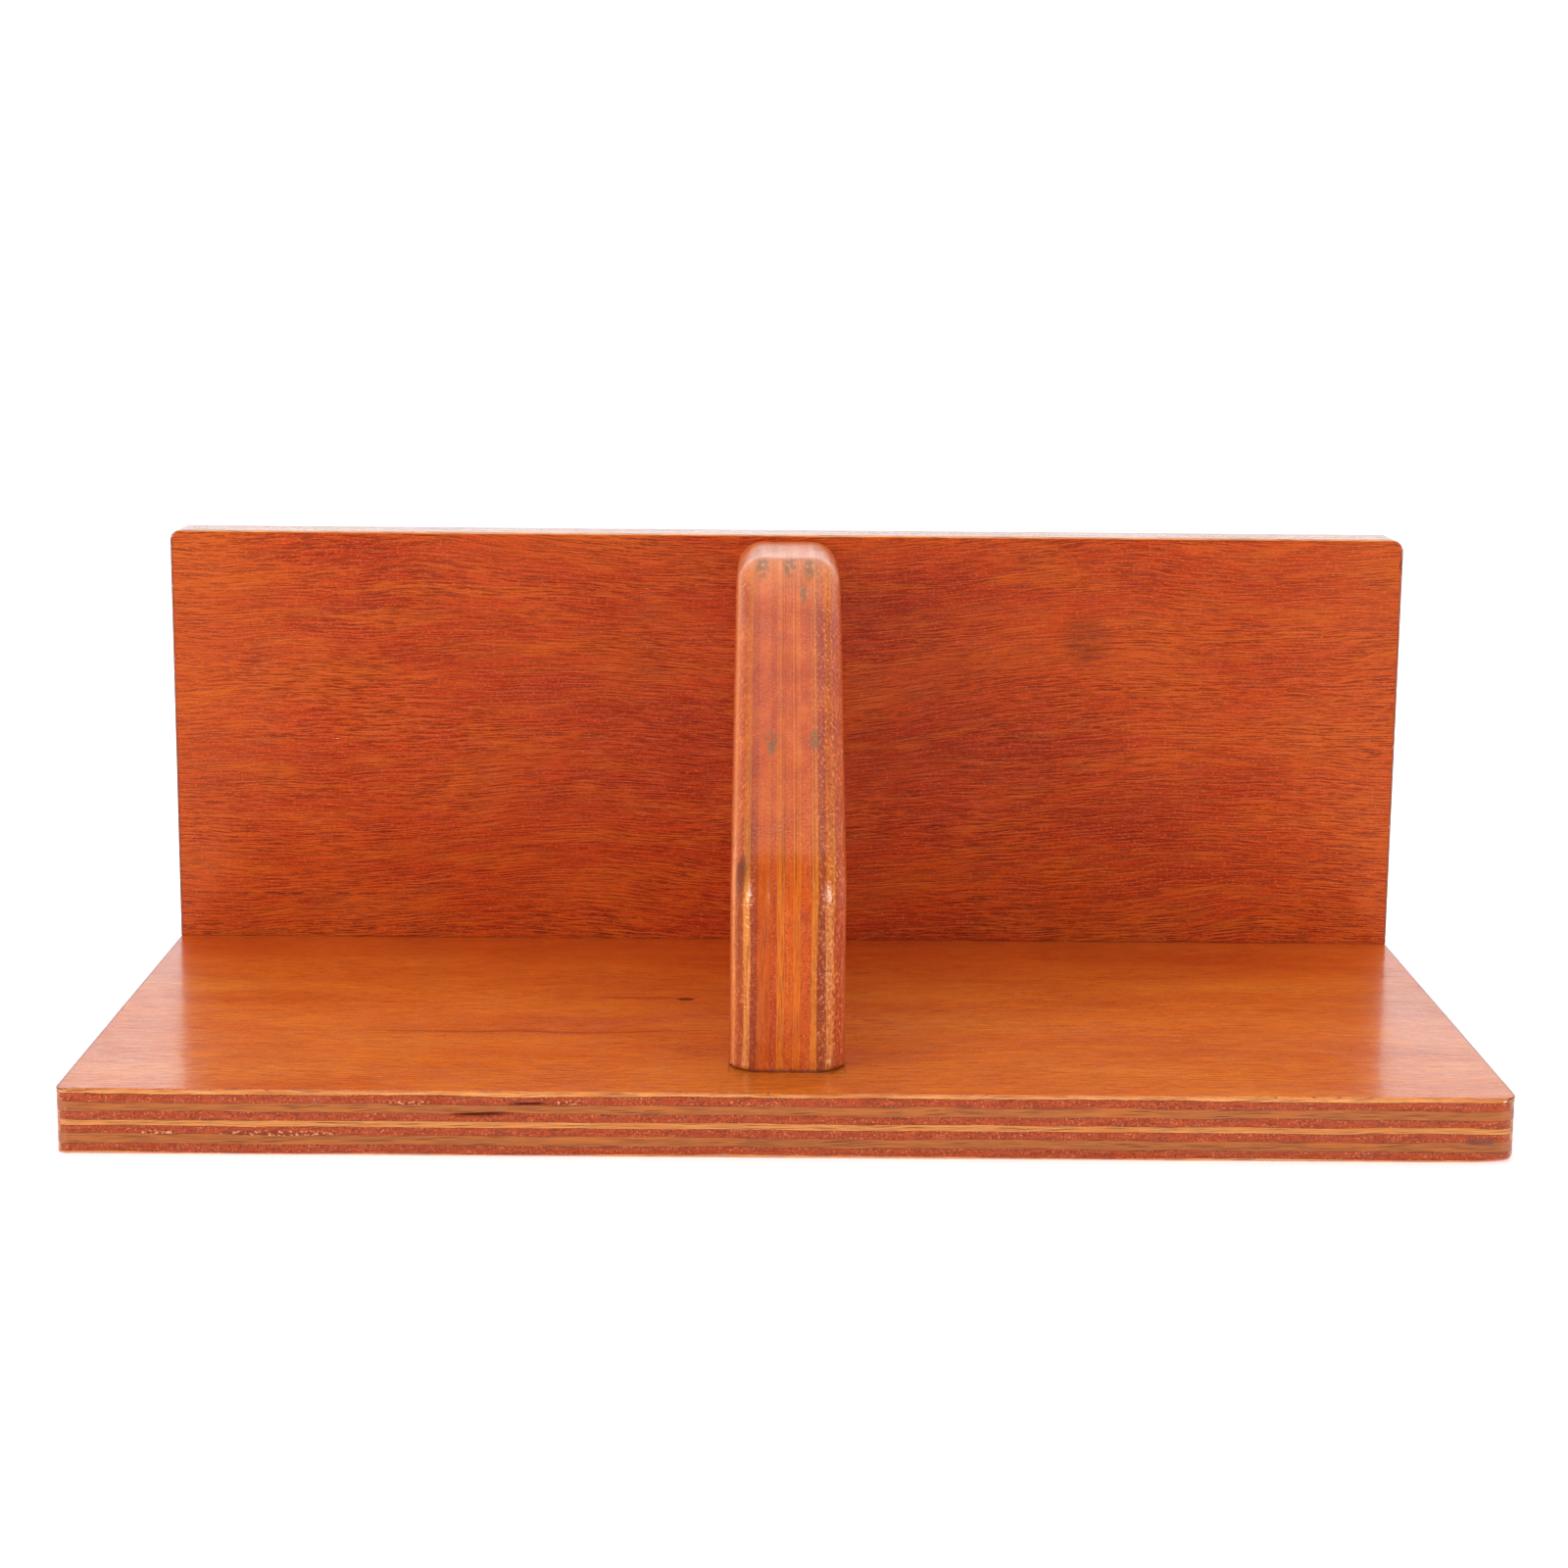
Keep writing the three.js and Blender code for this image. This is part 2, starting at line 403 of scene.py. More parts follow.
# Noise levels and colours of the stain on the brace's free edge, and of the film on the screws.
BRACE_STAIN = [(0.35, srgb(174, 54, 10)), (0.5, srgb(196, 74, 14)), (0.66, srgb(212, 96, 22))]
STEEL_FILM = [(0.3, srgb(150, 146, 138)), (0.55, srgb(188, 186, 180)), (0.75, srgb(206, 202, 190))]

# Linear colours that darken a ply by multiplying it.
GRAIN_SHADE = (0.42, 0.34, 0.3, 1)
CUT_SHADE = (0.66, 0.46, 0.36, 1)
PIT_SHADE = (0.4, 0.24, 0.18, 1)
BRACE_SHADE = (0.94, 0.84, 0.66, 1)


class Tones:
    """The veneer colours of one piece: dark, middle, light and warm wood, pores, and a pale colour for specks
    and for the painted highlights beside pores.
    """

    def __init__(self, dark, middle, light, warm, pore, rim):
        self.dark = srgb(*dark)
        self.middle = srgb(*middle)
        self.light = srgb(*light)
        self.warm = srgb(*warm)
        self.pore = srgb(*pore)
        self.rim = srgb(*rim)


BACK_TONES = Tones(
    dark=(170, 38, 4), middle=(191, 59, 7), light=(200, 82, 13),
    warm=(202, 86, 8), pore=(118, 18, 1), rim=(218, 104, 40),
)
BASE_TONES = Tones(
    dark=(202, 84, 12), middle=(222, 108, 20), light=(234, 130, 36),
    warm=(230, 122, 20), pore=(158, 50, 4), rim=(242, 146, 62),
)
BRACE_TONES = Tones(
    dark=(182, 62, 16), middle=(200, 82, 24), light=(214, 102, 34),
    warm=(210, 98, 28), pore=(124, 32, 10), rim=(228, 130, 64),
)

# The two boards as sheets: the axis that each lies across, the other axis of its face, and its veneer.
# grain_rise is how far the grain climbs to the right, and end_fade how much paler the two ends are.
BASE_SHEET = SimpleNamespace(
    name="base_plywood", axis="Z", across="Y", low=BASE_LOW.z / MM, high=BASE_HIGH.z / MM,
    tones=BASE_TONES, seed=11, pore_length=11, pore_strength=0.72, grain_rise=2, relief_mm=0.06,
    end_fade=0.0, coat_ior=1.28,
)
BACK_SHEET = SimpleNamespace(
    name="back_plywood", axis="Y", across="Z", low=BACK_LOW.y / MM, high=BACK_HIGH.y / MM,
    tones=BACK_TONES, seed=29, pore_length=12, pore_strength=0.82, grain_rise=13, relief_mm=0.055,
    end_fade=0.5, coat_ior=1.25,
)


def dashes(graph, along, across, length, spacing, share, seed):
    """Pores lying along the grain: one inside a pore and zero around it."""
    row = graph.times(across, 1 / spacing)
    offset = graph.add(graph.times(seed, 3.7), graph.times(row, 0.618))
    column = graph.add(graph.times(along, 1 / length), offset)
    value, distance = graph.cells(column, row, "2D")
    held = graph.steps(value, 1 - share, 1.2 - share)
    return graph.times(graph.steps(distance, 0.44, 0.16), held)


def veneer(graph, along, across, tones, seed, pore_length, pore_strength, paler=0.0):
    """Face veneer: clouds of tone, fibres, and short dark pores, all following a gently curved grain.

    Gives the colour, and a relief that is low in the pores.
    """
    slow = graph.noise((along, across), (170, 110), seed, detail=1)
    quick = graph.noise((along, across), (42, 26), graph.add(seed, 3), detail=1)
    small = graph.noise((along, across), (9, 5), graph.add(seed, 5), detail=1)
    sway = graph.add(graph.times(slow, 26), graph.add(graph.times(quick, 4), graph.times(small, 0.8)))
    level = graph.add(across, sway)
    clouds = graph.noise((along, level), (80, 26), graph.add(seed, 7), detail=3)
    tone = graph.ramp(clouds, [(0.3, tones.dark), (0.5, tones.middle), (0.7, tones.light)])
    tone = graph.mix(paler, tone, tones.light)
    figure = graph.noise((along, level), (36, 6), graph.add(seed, 9), detail=3)
    tone = graph.mix(graph.steps(figure, 0.46, 0.68, 0.0, 0.75), tone, tones.warm)
    # Open grain: thin dark lines, each with a painted highlight below it.
    lines = graph.noise((along, level), (18, 0.6), graph.add(seed, 11))
    pore_highlights = graph.noise((along, graph.add(level, 0.34)), (18, 0.6), graph.add(seed, 11))
    tone = graph.mix(graph.steps(pore_highlights, 0.5, 0.64, 0.0, 0.42 * pore_strength), tone, tones.rim)
    tone = graph.mix(graph.steps(lines, 0.49, 0.61, 0.0, 0.56 * pore_strength), tone, tones.pore)
    grit = graph.noise((along, level), (1.0, 0.45), graph.add(seed, 15))
    tone = graph.mix(graph.steps(grit, 0.5, 0.72, 0.0, 0.6), tone, tones.rim)
    patches = graph.noise((along, level), (55, 18), graph.add(seed, 13), detail=1)
    density = graph.steps(patches, 0.34, 0.6, 0.6, 1.0)
    long_pores = dashes(graph, along, level, pore_length, 0.78, 0.85, graph.add(seed, 17))
    short_pores = dashes(graph, along, level, pore_length * 0.45, 0.56, 0.7, graph.add(seed, 19))
    pores = graph.math("MAXIMUM", long_pores, graph.times(short_pores, 0.8))
    breaks = graph.noise((along, level), (2.6, 0.7), graph.add(seed, 21), detail=1)
    pores = graph.times(pores, graph.steps(breaks, 0.34, 0.5, 0.2, 1.0), density)
    tone = graph.mix(graph.times(pores, pore_strength), tone, tones.pore)
    open_grain = graph.steps(lines, 0.42, 0.62)
    relief = graph.less(graph.times(grit, 0.25), graph.add(graph.times(pores, 0.6), open_grain))
    return tone, relief


RED_PLY = (172, 62, 21)
STRAW_PLY = (220, 141, 74)
OLIVE_PLY = (178, 99, 47)
FACE_PLY = (242, 162, 92)
GLUE = (112, 44, 24)
BRACE_GLUE = (164, 66, 22)
GLUE_WIDTH = 0.14

# Thickness in mm and colour of each ply of an 18 mm sheet, from the face that shows.
# Every second ply lies across the sheet.
SHEET_PLIES = [
    (1.1, FACE_PLY),
    (2.4, RED_PLY),
    (2.6, OLIVE_PLY),
    (2.2, RED_PLY),
    (1.9, STRAW_PLY),
    (2.3, RED_PLY),
    (2.6, OLIVE_PLY),
    (2.3, RED_PLY),
    (1.0, FACE_PLY),
]

# The same sheet seen from its side edges, where the other plies show their cut ends.
SIDE_COLOURS = {
    RED_PLY: (204, 128, 66),
    STRAW_PLY: (188, 80, 42),
    OLIVE_PLY: (164, 62, 34),
    FACE_PLY: (196, 84, 40),
}
SIDE_PLIES = [(thickness, SIDE_COLOURS[colour]) for thickness, colour in SHEET_PLIES]

# The brace's plies from its left flank to its right flank.
BRACE_PLIES = [
    (1.45, (236, 148, 62)),
    (2.05, (198, 80, 20)),
    (2.0, (228, 154, 60)),
    (2.0, (146, 52, 28)),
    (3.6, (208, 92, 14)),
    (1.6, (194, 72, 12)),
    (2.4, (230, 128, 26)),
    (2.3, (216, 96, 8)),
    (2.3, (226, 120, 20)),
    (2.6, (208, 86, 10)),
    (2.1, (232, 146, 46)),
    (2.1, (128, 52, 30)),
    (2.5, (214, 138, 58)),
    (2.0, (190, 72, 22)),
    (1.4, (214, 84, 20)),
]


def ply_stops(plies, glue):
    """Ramp stops for plies with a thin dark glue line between each pair."""
    total = sum(thickness for thickness, _ in plies)
    stops = []
    reached = 0.0
    for thickness, colour in plies:
        if reached:
            stops.append((reached / total, srgb(*glue)))
            stops.append(((reached + GLUE_WIDTH) / total, srgb(*colour)))
        else:
            stops.append((0.0, srgb(*colour)))
        reached += thickness
    return stops


def end_stops(plies, first_is_end):
    """Ramp stops that are white for the plies whose cut ends show."""
    total = sum(thickness for thickness, _ in plies)
    stops = []
    reached = 0.0
    for index, (thickness, _) in enumerate(plies):
        is_end = (index % 2 == 0) == first_is_end
        stops.append((reached / total, grey(float(is_end))))
        reached += thickness
    return stops


def ply_edge(graph, depth, along, height, plies, first_is_end, seed, glue=GLUE):
    """The cut edge of a sheet: depth runs through the sheet, along runs along the edge.

    Height is the place across both. Gives the colour and the relief.
    """
    total = sum(thickness for thickness, _ in plies)
    waver = graph.noise((along, depth), (40, 5), seed)
    fringe = graph.noise((along, depth), (2.5, 1.5), seed + 2)
    shift = graph.add(graph.times(waver, 1.5), graph.times(fringe, 0.3))
    level = graph.less(graph.add(depth, shift), 0.9)
    share = graph.math("DIVIDE", level, total)
    colour = graph.ramp(share, ply_stops(plies, glue), "CONSTANT")
    is_end = graph.ramp(share, end_stops(plies, first_is_end), "CONSTANT")
    # Along the grain: streaks that drift between straw, olive and orange.
    streak = graph.noise((along, level), (11, 0.3), seed + 5, detail=4, roughness=0.65)
    drift = graph.noise((along, level), (26, 2), seed + 9)
    fibre = dashes(graph, along, level, 9, 0.5, 0.35, seed + 13)
    grained = graph.mix(graph.steps(streak, 0.4, 0.66, 0.0, 0.8), colour, GRAIN_SHADE, "MULTIPLY")
    grained = graph.mix(graph.steps(drift, 0.5, 0.66, 0.0, 0.55), grained, srgb(*STREAK_ORANGE))
    grained = graph.tint(grained, fibre, 0.6, FIBRE_BROWN)
    # Across the grain: cut vessels, dark inside, some with a bright rim where the varnish catches light.
    vessels = graph.noise((along, height, level), (0.55, 0.55, 0.5))
    pits = graph.steps(vessels, 0.44, 0.34)
    rows = graph.noise((along, level), (9, 0.9), seed + 23, detail=3)
    glints = graph.times(graph.steps(vessels, 0.57, 0.66), graph.steps(rows, 0.42, 0.6, 0.15, 1.0))
    clumps = graph.noise((along, level), (5, 1.2), seed + 21, detail=3)
    cut = graph.mix(graph.steps(clumps, 0.42, 0.66, 0.0, 0.7), colour, CUT_SHADE, "MULTIPLY")
    cut = graph.mix(graph.times(pits, 0.75), cut, PIT_SHADE, "MULTIPLY")
    cut = graph.tint(cut, glints, 0.65, GLINT_PALE)
    rough = graph.less(graph.times(glints, 0.7), pits)
    smooth = graph.less(graph.times(streak, 0.4), graph.times(fibre, 0.8))
    return graph.mix(is_end, grained, cut), graph.mix(is_end, smooth, rough)


def varnish(
    graph, colour, relief, relief_mm, ripple_mm=9.0, ripple_height=0.1, coat_roughness=0.1, coat_ior=1.25
):
    """Stained wood under a clear glossy coat that has settled into the grain."""
    place, _ = graph.position()
    xyz = [place[axis] for axis in "XYZ"]
    ripple = graph.noise(xyz, [ripple_mm] * 3)
    smudge = graph.noise(xyz, [SMUDGE_SIZE] * 3, detail=3)
    surface = graph.bump(relief, relief_mm * MM, after=graph.bump(ripple, ripple_height * MM))
    shader = graph.shader
    graph.put(shader.inputs["Base Color"], colour)
    graph.put(shader.inputs["Normal"], surface)
    graph.put(shader.inputs["Coat Normal"], surface)
    graph.put(shader.inputs["Roughness"], graph.steps(smudge, 0.3, 0.7, 0.36, 0.52))
    shader.inputs["IOR"].default_value = WOOD_IOR
    shader.inputs["Specular Tint"].default_value = WOOD_TINT
    shader.inputs["Coat Weight"].default_value = 1.0
    shader.inputs["Coat Roughness"].default_value = coat_roughness
    shader.inputs["Coat IOR"].default_value = coat_ior
    return graph.material


def board_material(sheet, features):
    """Plywood with its face grain along X and its two faces cut from different veneer.

    The sheet lies across its axis, between low and high. Features add the marks on its faces.
    """
    graph = Graph(sheet.name)
    place, facing = graph.position()
    along, across, through = place["X"], place[sheet.across], place[sheet.axis]
    middle, half = (sheet.low + sheet.high) / 2, (sheet.high - sheet.low) / 2
    toward_high = graph.steps(through, middle - 1, middle + 1)
    if sheet.axis == "Y":
        depth = graph.less(through, sheet.low)
        shown = graph.less(1.0, toward_high)
    else:
        depth = graph.less(sheet.high, through)
        shown = toward_high
    rise = graph.times(graph.steps(along, -20, 120), sheet.grain_rise)
    paler = graph.steps(graph.size(along), 150, 205, 0.0, sheet.end_fade)
    seed = graph.add(sheet.seed, graph.times(shown, 40))
    level = graph.less(across, rise)
    pores = (sheet.pore_length, sheet.pore_strength)
    tone, relief = veneer(graph, along, level, sheet.tones, seed, *pores, paler)
    tone, relief = features(graph, place, tone, relief, shown)
    long_edge, long_relief = ply_edge(graph, depth, along, across, SHEET_PLIES, False, sheet.seed)
    side_edge, side_relief = ply_edge(graph, depth, across, along, SIDE_PLIES, True, sheet.seed + 40)
    toward_end = graph.size(facing["X"])
    side = graph.steps(toward_end, 0.55, 0.8)
    edge = graph.mix(side, long_edge, side_edge)
    edge_relief = graph.mix(side, long_relief, side_relief)
    if sheet.axis == "Z":
        edge = front_edge_marks(graph, place, edge)
    # Walls of the splits face the same way as the sheet's faces, but lie deeper.
    toward_face = graph.size(facing[sheet.axis])
    near_face = graph.steps(graph.size(graph.less(through, middle)), half - 2.2, half - 1.6)
    face = graph.times(graph.steps(toward_face, 0.62, 0.9), near_face)
    colour = graph.mix(face, edge, tone)
    # Stain gathers along the arrises of the two ends.
    arris = graph.times(graph.steps(toward_end, 0.1, 0.4), graph.steps(toward_face, 0.1, 0.35), shown)
    colour = graph.tint(colour, arris, 0.9, ARRIS_STAIN)
    end = BASE_HIGH.x / MM
    rim = graph.times(graph.steps(graph.size(along), end - 1.1, end - 0.5), face)
    colour = graph.tint(colour, rim, 0.7, RIM_STAIN)
    relief = graph.mix(face, graph.times(edge_relief, 2.0), relief)
    return varnish(graph, colour, relief, sheet.relief_mm, coat_ior=sheet.coat_ior)


def back_features(graph, place, tone, relief, shown):
    """A faint round bruise, a fine crack near the foot, a chip at the right edge and a dark joint line with
    painted shade.
    """
    x, z = place["X"], place["Z"]
    base_top = BASE_HIGH.z / MM
    ragged = graph.noise((x, z), (5, 1.2), 2.0, detail=3)
    bruise = graph.times(graph.spot(x, z, *BRUISE, 0.9), graph.steps(ragged, 0.3, 0.6, 0.3, 0.8), shown)
    tone = graph.tint(tone, bruise, 0.6, BRUISE_BROWN)
    sway = graph.noise((x,), (20,), 5.0)
    line = graph.add(z, graph.times(sway, 2.5))
    crack = graph.times(graph.spot(x, line, *CRACK, 0.8), graph.steps(ragged, 0.4, 0.62), shown)
    tone = graph.tint(tone, crack, 0.75, CRACK_BROWN)
    tone = graph.tint(tone, graph.spot(x, z, *CHIP, 0.8), 0.8, CHIP_BROWN)
    # A dark line at the joint with the base: joint line and painted shade in the crease.
    joint = graph.times(graph.steps(z, base_top + 0.8, base_top + 0.1), shown)
    tone = graph.tint(tone, joint, 0.2, BACK_JOINT_SHADE)
    return tone, graph.less(relief, crack)


def front_edge_marks(graph, place, tone):
    """Dark splits, rows of torn fibres drawn with painted highlights and painted shadows, and the plug of
    filler in the base's front edge.
    """
    x, z = place["X"], place["Z"]
    front = BASE_LOW.y / MM
    ahead = graph.steps(place["Y"], front + 2.5, front + 1.2)
    for centre, height, half_length, half_height, _ in FRONT_SPLITS:
        wave = graph.add(graph.times(x, 1 / SPLIT_WAVE), height)
        level = graph.less(z, graph.times(graph.math("SINE", wave), SPLIT_SWAY))
        inside = graph.spot(x, level, centre, height, half_length, half_height * 1.3, 0.8)
        tone = graph.tint(tone, inside, ahead, SPLIT_BROWN)
    for centre, height, half_length, half_height in TORN_ROWS:
        crumbs = graph.noise((x, z), (0.9, 0.7), height)
        inside = graph.times(graph.spot(x, z, centre, height, half_length, half_height, 0.6), ahead)
        pit_shadow = graph.times(inside, graph.steps(crumbs, 0.52, 0.44))
        lit_crumbs = graph.times(inside, graph.steps(crumbs, 0.54, 0.6))
        # Torn fibres: painted shadow in the pits and painted highlight on the crumbs.
        tone = graph.tint(tone, pit_shadow, 0.7, TORN_PIT_SHADOW)
        tone = graph.tint(tone, lit_crumbs, 0.85, TORN_LIT_CRUMB)
    sideways = graph.size(graph.less(x, FILLER_PLACE[0]))
    above = graph.size(graph.less(z, FILLER_PLACE[1]))
    filler = graph.times(graph.steps(sideways, 4.3, 3.2), graph.steps(above, 1.1, 0.8), ahead)
    return graph.tint(tone, filler, 0.65, FILLER_BROWN)


def base_features(graph, place, tone, relief, shown):
    """A red shade to the rear, a knot with a streak, a growth line, a nicked arris, and dusty joints with
    painted shade along them.
    """
    x, y = place["X"], place["Y"]
    front = BASE_LOW.y / MM
    tone = graph.mix(graph.steps(y, 10, 80, 0.0, 0.4), tone, srgb(*BASE_RED))
    streak = graph.times(graph.spot(x, y, *KNOT_STREAK, 1.0), shown)
    tone = graph.tint(tone, streak, 0.55, STREAK_RED)
    knot = graph.times(graph.spot(x, y, *KNOT, 0.7), shown)
    tone = graph.tint(tone, knot, 0.92, KNOT_BROWN)
    bend = graph.noise((x,), (70,), 9.0)
    line = graph.add(y, graph.times(bend, 30))
    growth = graph.times(graph.spot(x, line, *GROWTH_LINE, 1.0), shown)
    tone = graph.tint(tone, growth, 0.7, GROWTH_RED)
    nick = graph.noise((x, y), (2.2, 0.8), 4.0)
    near_arris = graph.steps(y, front + 2.8, front + 1.4)
    worn = graph.steps(graph.noise((x,), (60,), 7.0), 0.45, 0.6)
    nicks = graph.times(graph.steps(nick, 0.56, 0.62), near_arris, worn)
    tone = graph.tint(tone, nicks, 0.8, NICK_BROWN)
    # A dark line round the brace's foot and along the back board: joint lines with painted shade.
    beside = graph.less(graph.size(x), BRACE_HALF / MM)
    ahead = graph.less(BRACE_LOW.y / MM, y)
    from_brace = graph.size(graph.math("MAXIMUM", beside, ahead))
    from_back = graph.size(graph.less(BACK_FRONT / MM, y))
    from_joint = graph.math("MINIMUM", from_brace, from_back)
    joint = graph.times(graph.steps(from_joint, 0.6, 0.1), shown)
    tone = graph.tint(tone, joint, 0.35, BASE_JOINT_SHADE)
    value, distance = graph.cells(graph.times(x, 1 / 1.6), graph.times(y, 1 / 1.6), "3D")
    speck = graph.times(graph.steps(value, 0.93, 0.95), graph.steps(distance, 0.22, 0.12))
    speck = graph.times(speck, graph.steps(from_joint, 6.0, 0.5), shown)
    tone = graph.tint(tone, speck, 0.6, DUST)
    return tone, graph.less(relief, graph.add(knot, nicks))


def brace_features(graph, place, tone):
    """Grey-green scuffs just past the top bend and further down the slope, and a brown gouge at the toe."""
    x, y = place["X"], place["Y"]
    ragged = graph.noise((x, y), (1.4, 2.2), 6.0, detail=3)
    for marks, low, colour in ((BRACE_SCUFFS, 0.38, SCUFF_GREY), (BRACE_GOUGES, 0.2, GOUGE_BROWN)):
        for mark in marks:
            inside = graph.times(graph.spot(x, y, *mark, 0.9), graph.steps(ragged, low, low + 0.15))
            tone = graph.tint(tone, inside, 0.75, colour)
    return tone


def brace_material():
    """Thick plywood standing on edge: its plies show as stripes on every free edge, strongest at the toe."""
    graph = Graph("brace_plywood")
    place, facing = graph.position()
    x, y, z = place["X"], place["Y"], place["Z"]
    base_top = BASE_HIGH.z / MM
    depth = graph.less(x, BRACE_LOW.x / MM)
    run = graph.less(z, graph.times(y, 0.7))
    side_run = graph.add(graph.times(z, 0.7), y)
    stripes, stripe_relief = ply_edge(graph, depth, run, side_run, BRACE_PLIES, False, 61, BRACE_GLUE)
    stripes = graph.mix(1.0, stripes, BRACE_SHADE, "MULTIPLY")
    blotch = graph.noise((x, y, z), (7, 14, 14), detail=3)
    stain = graph.ramp(blotch, BRACE_STAIN)
    veil = graph.steps(graph.add(z, graph.times(blotch, 30)), 72, 128, 0.22, 0.66)
    free_edge = graph.mix(veil, stripes, stain)
    # Mottled end grain near the two sides.
    mottle = graph.noise((x, y, z), (0.7, 1.3, 1.3))
    near_side = graph.steps(graph.size(graph.add(x, 2.0)), 7, 14, 0.2, 1.0)
    pale = graph.times(graph.steps(mottle, 0.54, 0.7, 0.0, 0.6), near_side)
    dark = graph.times(graph.steps(mottle, 0.47, 0.34, 0.0, 0.7), near_side)
    free_edge = graph.mix(pale, free_edge, srgb(*MOTTLE_PALE))
    free_edge = graph.mix(dark, free_edge, srgb(*MOTTLE_DARK))
    # The left rounded edge is paler, and the top bend is worn paler.
    paler_left = graph.steps(x, -12.5, -16, 0.0, 0.5)
    worn_top = graph.steps(z, 138, 149, 0.0, 0.35)
    free_edge = graph.mix(graph.math("MAXIMUM", paler_left, worn_top), free_edge, srgb(*PALE_SIDE_AND_WEAR))
    free_edge = brace_features(graph, place, free_edge)
    # Painted contact shadow along the foot, where the brace stands on the base.
    contact_shadow = graph.steps(z, base_top + 1.4, base_top + 0.3)
    free_edge = graph.tint(free_edge, contact_shadow, 0.75, BRACE_CONTACT_SHADOW)
    tone, relief = veneer(graph, y, z, BRACE_TONES, 71, 16, 0.7)
    face = graph.steps(graph.size(facing["X"]), 0.88, 0.98)
    return varnish(
        graph, graph.mix(face, free_edge, tone), graph.mix(face, stripe_relief, relief), relief_mm=0.07,
        ripple_mm=0.9, ripple_height=0.19, coat_roughness=0.18, coat_ior=1.22,
    )


def steel_material():
    """Zinc-plated steel with fine turning marks and a dull film."""
    graph = Graph("screw_steel")
    place, _ = graph.position()
    xyz = [place[axis] for axis in "XYZ"]
    film = graph.noise(xyz, (2, 2, 2), detail=4)
    lines = graph.noise(xyz, (3, 3, 0.25))
    graph.put(graph.shader.inputs["Base Color"], graph.ramp(film, STEEL_FILM))
    graph.put(graph.shader.inputs["Roughness"], graph.steps(film, 0.3, 0.7, 0.24, 0.42))
    graph.put(graph.shader.inputs["Normal"], graph.bump(lines, 0.02 * MM))
    graph.shader.inputs["Metallic"].default_value = 1.0
    return graph.material


# ---- meshes ----

WELD = 0.002 * MM
SHARP_ANGLE = math.radians(38)


def new_object(name, form):
    bmesh.ops.remove_doubles(form, verts=form.verts, dist=WELD)
    bmesh.ops.recalc_face_normals(form, faces=form.faces)
    mesh = bpy.data.meshes.new(name)
    form.to_mesh(mesh)
    form.free()
    made = bpy.data.objects.new(name, mesh)
    bpy.context.scene.collection.objects.link(made)
    return made


def finish_piece(piece, material, node):
    """Smooths the shading, gives the piece its material, hangs it from the root body and hides the CAD node
    that it stands for.
    """
    mesh = piece.data
    for polygon in mesh.polygons:
        polygon.use_smooth = True
    mesh.set_sharp_from_angle(angle=SHARP_ANGLE)
    mesh.materials.clear()
    mesh.materials.append(material)
    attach(piece, "root")
    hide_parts(node)


def join_rings(form, rings, closed=True):
    for lower, upper in zip(rings, rings[1:]):
        for index in range(len(lower) if closed else len(lower) - 1):
            following = (index + 1) % len(lower)
            form.faces.new((lower[index], lower[following], upper[following], upper[index]))


CORNER_STEPS = 10
ARRIS_STEPS = 5
SUPPORT = 0.2 * MM
CRISP_END = 0.28
CRISP_REACH = 4 * MM

# Corner radii and mesh steps of the boards, from the lower left corner round.
BASE_CORNERS = [4 * MM, 5.4 * MM, 4 * MM, 4 * MM]
BASE_STEPS = [1.4 * MM, 2.5 * MM, 3 * MM, 2.5 * MM]
BACK_CORNERS = [0.5 * MM, 0.5 * MM, 4 * MM, 3.4 * MM]
BACK_STEPS = [4 * MM, 2.5 * MM, 2 * MM, 2.5 * MM]
BASE_EDGE_STEP = 0.5 * MM
BACK_EDGE_STEP = 0.8 * MM

# Relief of the cut edges, in mm: how far they lie below the outline, their swells, and their roughness.
EDGE_SINK = 0.05
EDGE_SWELL = 0.04
ROUGH_CUT = 0.07
ROUGH_LONG = 0.02

# Radii of the worn arrises, in mm, and the reach and extra radius of the base's worn lower corner.
WORN_UNDER = 1.5
WORN_OVER = 1.25
WORN_BACK = 1.1
WORN_SWELL = 0.3
WORN_CORNER_REACH = 16 * MM
WORN_CORNER = 2.6
FOOT_ARRIS = 0.25
FOOT_RISE = 3 * MM


def board_outline(width, height, radii, steps):
    """Points round a rounded rectangle centred on the origin, each with its outward direction.

    Runs anticlockwise from the lower left corner; radii and steps are for the corners in that order and
    for the side that follows each.
    """
    corners = [(-1, -1, 180), (1, -1, 270), (1, 1, 0), (-1, 1, 90)]
    points = []
    for index, (side_x, side_y, start) in enumerate(corners):
        radius = radii[index]
        centre = Vector((side_x * (width / 2 - radius), side_y * (height / 2 - radius)))
        for step in range(CORNER_STEPS + 1):
            angle = math.radians(start + 90 * step / CORNER_STEPS)
            outward = Vector((math.cos(angle), math.sin(angle)))
            points.append((centre + radius * outward, outward))
        next_x, next_y, _ = corners[(index + 1) % 4]
        next_radius = radii[(index + 1) % 4]
        ahead = Vector((next_x * (width / 2 - next_radius), next_y * (height / 2 - next_radius)))
        outward = points[-1][1]
        ahead += next_radius * outward
        here = points[-1][0]
        count = max(2, round((ahead - here).length / steps[index]))
        for step in range(1, count):
            points.append((here.lerp(ahead, step / count), outward))
    return points


def grain_noise(*place):
    return noise.noise(Vector(place))


def lies_across(depth, on_side):
    """True where the ply at this depth shows its cut ends."""
    reached = 0.0
    for index, (thickness, _) in enumerate(SHEET_PLIES):
        reached += thickness
        if depth < reached:
            break
    return (index % 2 == 0) == on_side


